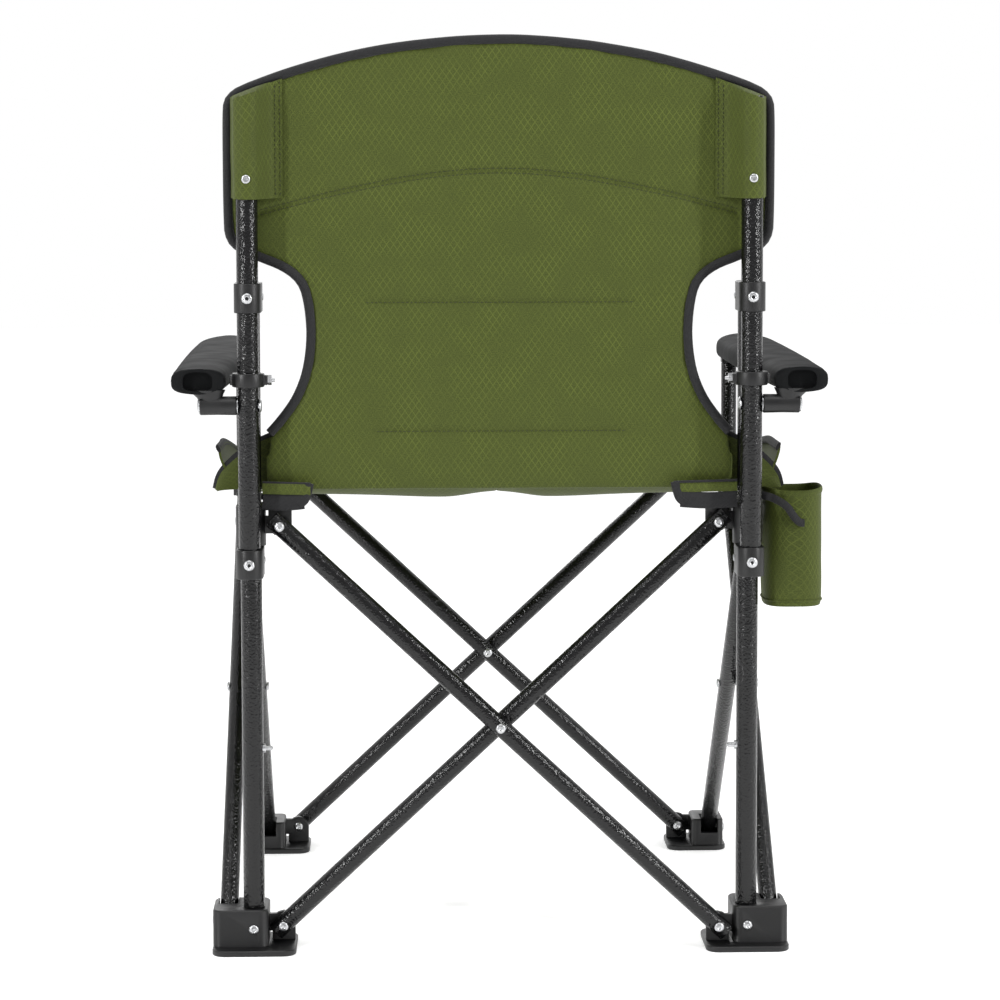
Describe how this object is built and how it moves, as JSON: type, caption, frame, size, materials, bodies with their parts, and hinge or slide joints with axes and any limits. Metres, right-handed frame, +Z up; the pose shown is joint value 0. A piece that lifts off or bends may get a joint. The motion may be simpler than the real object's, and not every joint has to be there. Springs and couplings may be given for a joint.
{
  "type": "folding camp chair",
  "caption": "Folding camp chair: twin-tube rear posts, a four-sided scissor frame on moulded feet, swinging armrests, padded seat and back, and a cup pocket.",
  "frame": {"origin": "on the floor, in the middle of the chair's length and width", "axes": "+Z up, the chair faces -Y, +X to the sitter's left"},
  "size_m": [0.68, 0.609, 0.942],
  "materials": {
    "steel_black": "hammered powder coat",
    "plastic_black": "satin moulded",
    "plastic_arm": "satin moulded",
    "rivet_steel": "zinc plated",
    "binding_black": "woven binding tape",
    "fabric_green": "ripstop polyester"
  },
  "bodies": {
    "rear_post_left": {"rear_foot_left": "plastic_black", "rear_foot_cross_pin_left": "rivet_steel", "rear_foot_side_pin_left": "rivet_steel", "rear_foot_post_pin_left": "rivet_steel", "leg_tube_left": "steel_black", "back_tube_left": "steel_black", "lower_collar_left": "plastic_black", "upper_collar_left": "plastic_black", "arm_clamp_left": "plastic_black", "arm_pivot_bolt_left": "rivet_steel", "backrest": "fabric_green"},
    "front_foot_left": {"front_foot_left": "plastic_black", "front_foot_cross_pin_left": "rivet_steel", "front_foot_side_pin_left": "rivet_steel"},
    "rear_bracket_left": {"rear_bracket_left": "plastic_black", "rear_bracket_cross_pin_left": "rivet_steel", "rear_bracket_side_pin_left": "rivet_steel"},
    "front_bracket_left": {"front_bracket_left": "plastic_black", "front_bracket_cross_pin_left": "rivet_steel", "front_bracket_side_pin_left": "rivet_steel", "arm_post_left": "steel_black", "arm_post_cap_left": "plastic_black"},
    "side_bar_outer_left": {"side_bar_outer_left": "steel_black", "side_cross_rivet_left": "rivet_steel"},
    "side_bar_inner_left": {"side_bar_inner_left": "steel_black"},
    "armrest_left": {"armrest_left": "plastic_arm"},
    "seat_left": {"seat_left": "fabric_green"},
    "rear_post_right": {"rear_foot_right": "plastic_black", "rear_foot_cross_pin_right": "rivet_steel", "rear_foot_side_pin_right": "rivet_steel", "rear_foot_post_pin_right": "rivet_steel", "leg_tube_right": "steel_black", "back_tube_right": "steel_black", "lower_collar_right": "plastic_black", "upper_collar_right": "plastic_black", "arm_clamp_right": "plastic_black", "arm_pivot_bolt_right": "rivet_steel"},
    "front_foot_right": {"front_foot_right": "plastic_black", "front_foot_cross_pin_right": "rivet_steel", "front_foot_side_pin_right": "rivet_steel"},
    "rear_bracket_right": {"rear_bracket_right": "plastic_black", "rear_bracket_cross_pin_right": "rivet_steel", "rear_bracket_side_pin_right": "rivet_steel", "cup_pocket": "fabric_green"},
    "front_bracket_right": {"front_bracket_right": "plastic_black", "front_bracket_cross_pin_right": "rivet_steel", "front_bracket_side_pin_right": "rivet_steel", "arm_post_right": "steel_black", "arm_post_cap_right": "plastic_black"},
    "side_bar_outer_right": {"side_bar_outer_right": "steel_black", "side_cross_rivet_right": "rivet_steel"},
    "side_bar_inner_right": {"side_bar_inner_right": "steel_black"},
    "armrest_right": {"armrest_right": "plastic_arm"},
    "seat_right": {"seat_right": "fabric_green"},
    "rear_bar_from_left": {"rear_bar_from_left": "steel_black", "rear_cross_rivet": "rivet_steel"},
    "rear_bar_from_right": {"rear_bar_from_right": "steel_black"},
    "front_bar_from_left": {"front_bar_from_left": "steel_black", "front_cross_rivet": "rivet_steel"},
    "front_bar_from_right": {"front_bar_from_right": "steel_black"}
  },
  "joints": [
    {"name": "fold", "type": "hinge", "parent": "rear_post_left", "child": "rear_bar_from_left", "pos_m": [0.226, 0.2495, 0.024], "axis": [0, 1, 0], "range_deg": [0, 40], "deforming": ["backrest"]},
    {"name": "rear_cross", "type": "hinge", "parent": "rear_bar_from_left", "child": "rear_bar_from_right", "pos_m": [0, 0.26, 0.234], "axis": [0, 1, 0], "range_deg": [-80, 0]},
    {"name": "rear_post_right_hinge", "type": "hinge", "parent": "rear_bar_from_right", "child": "rear_post_right", "pos_m": [-0.226, 0.2705, 0.024], "axis": [0, 1, 0], "range_deg": [0, 40]},
    {"name": "rear_bracket_left_hinge", "type": "hinge", "parent": "rear_bar_from_right", "child": "rear_bracket_left", "pos_m": [0.226, 0.2705, 0.444], "axis": [0, 1, 0], "range_deg": [0, 40]},
    {"name": "rear_bracket_right_hinge", "type": "hinge", "parent": "rear_bar_from_left", "child": "rear_bracket_right", "pos_m": [-0.226, 0.2495, 0.444], "axis": [0, 1, 0], "range_deg": [-40, 0], "deforming": ["cup_pocket"]},
    {"name": "side_outer_left_hinge", "type": "hinge", "parent": "rear_post_left", "child": "side_bar_outer_left", "pos_m": [0.284, 0.226, 0.024], "axis": [-1, 0, 0], "range_deg": [0, 40]},
    {"name": "side_cross_left", "type": "hinge", "parent": "side_bar_outer_left", "child": "side_bar_inner_left", "pos_m": [0.2728, 0, 0.234], "axis": [-1, 0, 0], "range_deg": [-80, 0]},
    {"name": "front_foot_left_hinge", "type": "hinge", "parent": "side_bar_inner_left", "child": "front_foot_left", "pos_m": [0.2615, -0.226, 0.024], "axis": [-1, 0, 0], "range_deg": [0, 40]},
    {"name": "front_bracket_left_hinge", "type": "hinge", "parent": "side_bar_outer_left", "child": "front_bracket_left", "pos_m": [0.284, -0.226, 0.444], "axis": [-1, 0, 0], "range_deg": [-40, 0]},
    {"name": "side_outer_right_hinge", "type": "hinge", "parent": "rear_post_right", "child": "side_bar_outer_right", "pos_m": [-0.284, 0.226, 0.024], "axis": [-1, 0, 0], "range_deg": [0, 40]},
    {"name": "side_cross_right", "type": "hinge", "parent": "side_bar_outer_right", "child": "side_bar_inner_right", "pos_m": [-0.2728, 0, 0.234], "axis": [-1, 0, 0], "range_deg": [-80, 0]},
    {"name": "front_foot_right_hinge", "type": "hinge", "parent": "side_bar_inner_right", "child": "front_foot_right", "pos_m": [-0.2615, -0.226, 0.024], "axis": [-1, 0, 0], "range_deg": [0, 40]},
    {"name": "front_bracket_right_hinge", "type": "hinge", "parent": "side_bar_outer_right", "child": "front_bracket_right", "pos_m": [-0.284, -0.226, 0.444], "axis": [-1, 0, 0], "range_deg": [-40, 0]},
    {"name": "front_lower_left_hinge", "type": "hinge", "parent": "front_foot_left", "child": "front_bar_from_left", "pos_m": [0.226, -0.2615, 0.024], "axis": [0, 1, 0], "range_deg": [0, 40]},
    {"name": "front_cross", "type": "hinge", "parent": "front_bar_from_left", "child": "front_bar_from_right", "pos_m": [0, -0.251, 0.234], "axis": [0, 1, 0], "range_deg": [-80, 0]},
    {"name": "armrest_left_hinge", "type": "hinge", "parent": "rear_post_left", "child": "armrest_left", "pos_m": [0.286, 0.288, 0.569], "axis": [-1, 0, 0], "range_deg": [0, 48.4]},
    {"name": "seat_left_fold", "type": "hinge", "parent": "rear_bracket_left", "child": "seat_left", "pos_m": [0.256, 0, 0.4627], "axis": [0, -1, 0], "range_deg": [0, 74.56], "deforming": ["seat_left"]},
    {"name": "armrest_right_hinge", "type": "hinge", "parent": "rear_post_right", "child": "armrest_right", "pos_m": [-0.286, 0.288, 0.569], "axis": [-1, 0, 0], "range_deg": [0, 48.4]},
    {"name": "seat_right_fold", "type": "hinge", "parent": "rear_bracket_right", "child": "seat_right", "pos_m": [-0.256, 0, 0.4627], "axis": [0, 1, 0], "range_deg": [0, 74.56], "deforming": ["seat_right"]}
  ],
  "couplings": [
    {"joint": "rear_cross", "follows": "fold", "ratio": -2},
    {"joint": "rear_post_right_hinge", "follows": "fold", "ratio": 1},
    {"joint": "rear_bracket_left_hinge", "follows": "fold", "ratio": 1},
    {"joint": "rear_bracket_right_hinge", "follows": "fold", "ratio": -1},
    {"joint": "side_outer_left_hinge", "follows": "fold", "ratio": 1},
    {"joint": "side_cross_left", "follows": "fold", "ratio": -2},
    {"joint": "front_foot_left_hinge", "follows": "fold", "ratio": 1},
    {"joint": "front_bracket_left_hinge", "follows": "fold", "ratio": -1},
    {"joint": "side_outer_right_hinge", "follows": "fold", "ratio": 1},
    {"joint": "side_cross_right", "follows": "fold", "ratio": -2},
    {"joint": "front_foot_right_hinge", "follows": "fold", "ratio": 1},
    {"joint": "front_bracket_right_hinge", "follows": "fold", "ratio": -1},
    {"joint": "front_lower_left_hinge", "follows": "fold", "ratio": 1},
    {"joint": "front_cross", "follows": "fold", "ratio": -2},
    {"joint": "armrest_left_hinge", "follows": "fold", "ratio": 1.21},
    {"joint": "seat_left_fold", "follows": "fold", "ratio": 1.864},
    {"joint": "armrest_right_hinge", "follows": "fold", "ratio": 1.21},
    {"joint": "seat_right_fold", "follows": "fold", "ratio": 1.864}
  ]
}
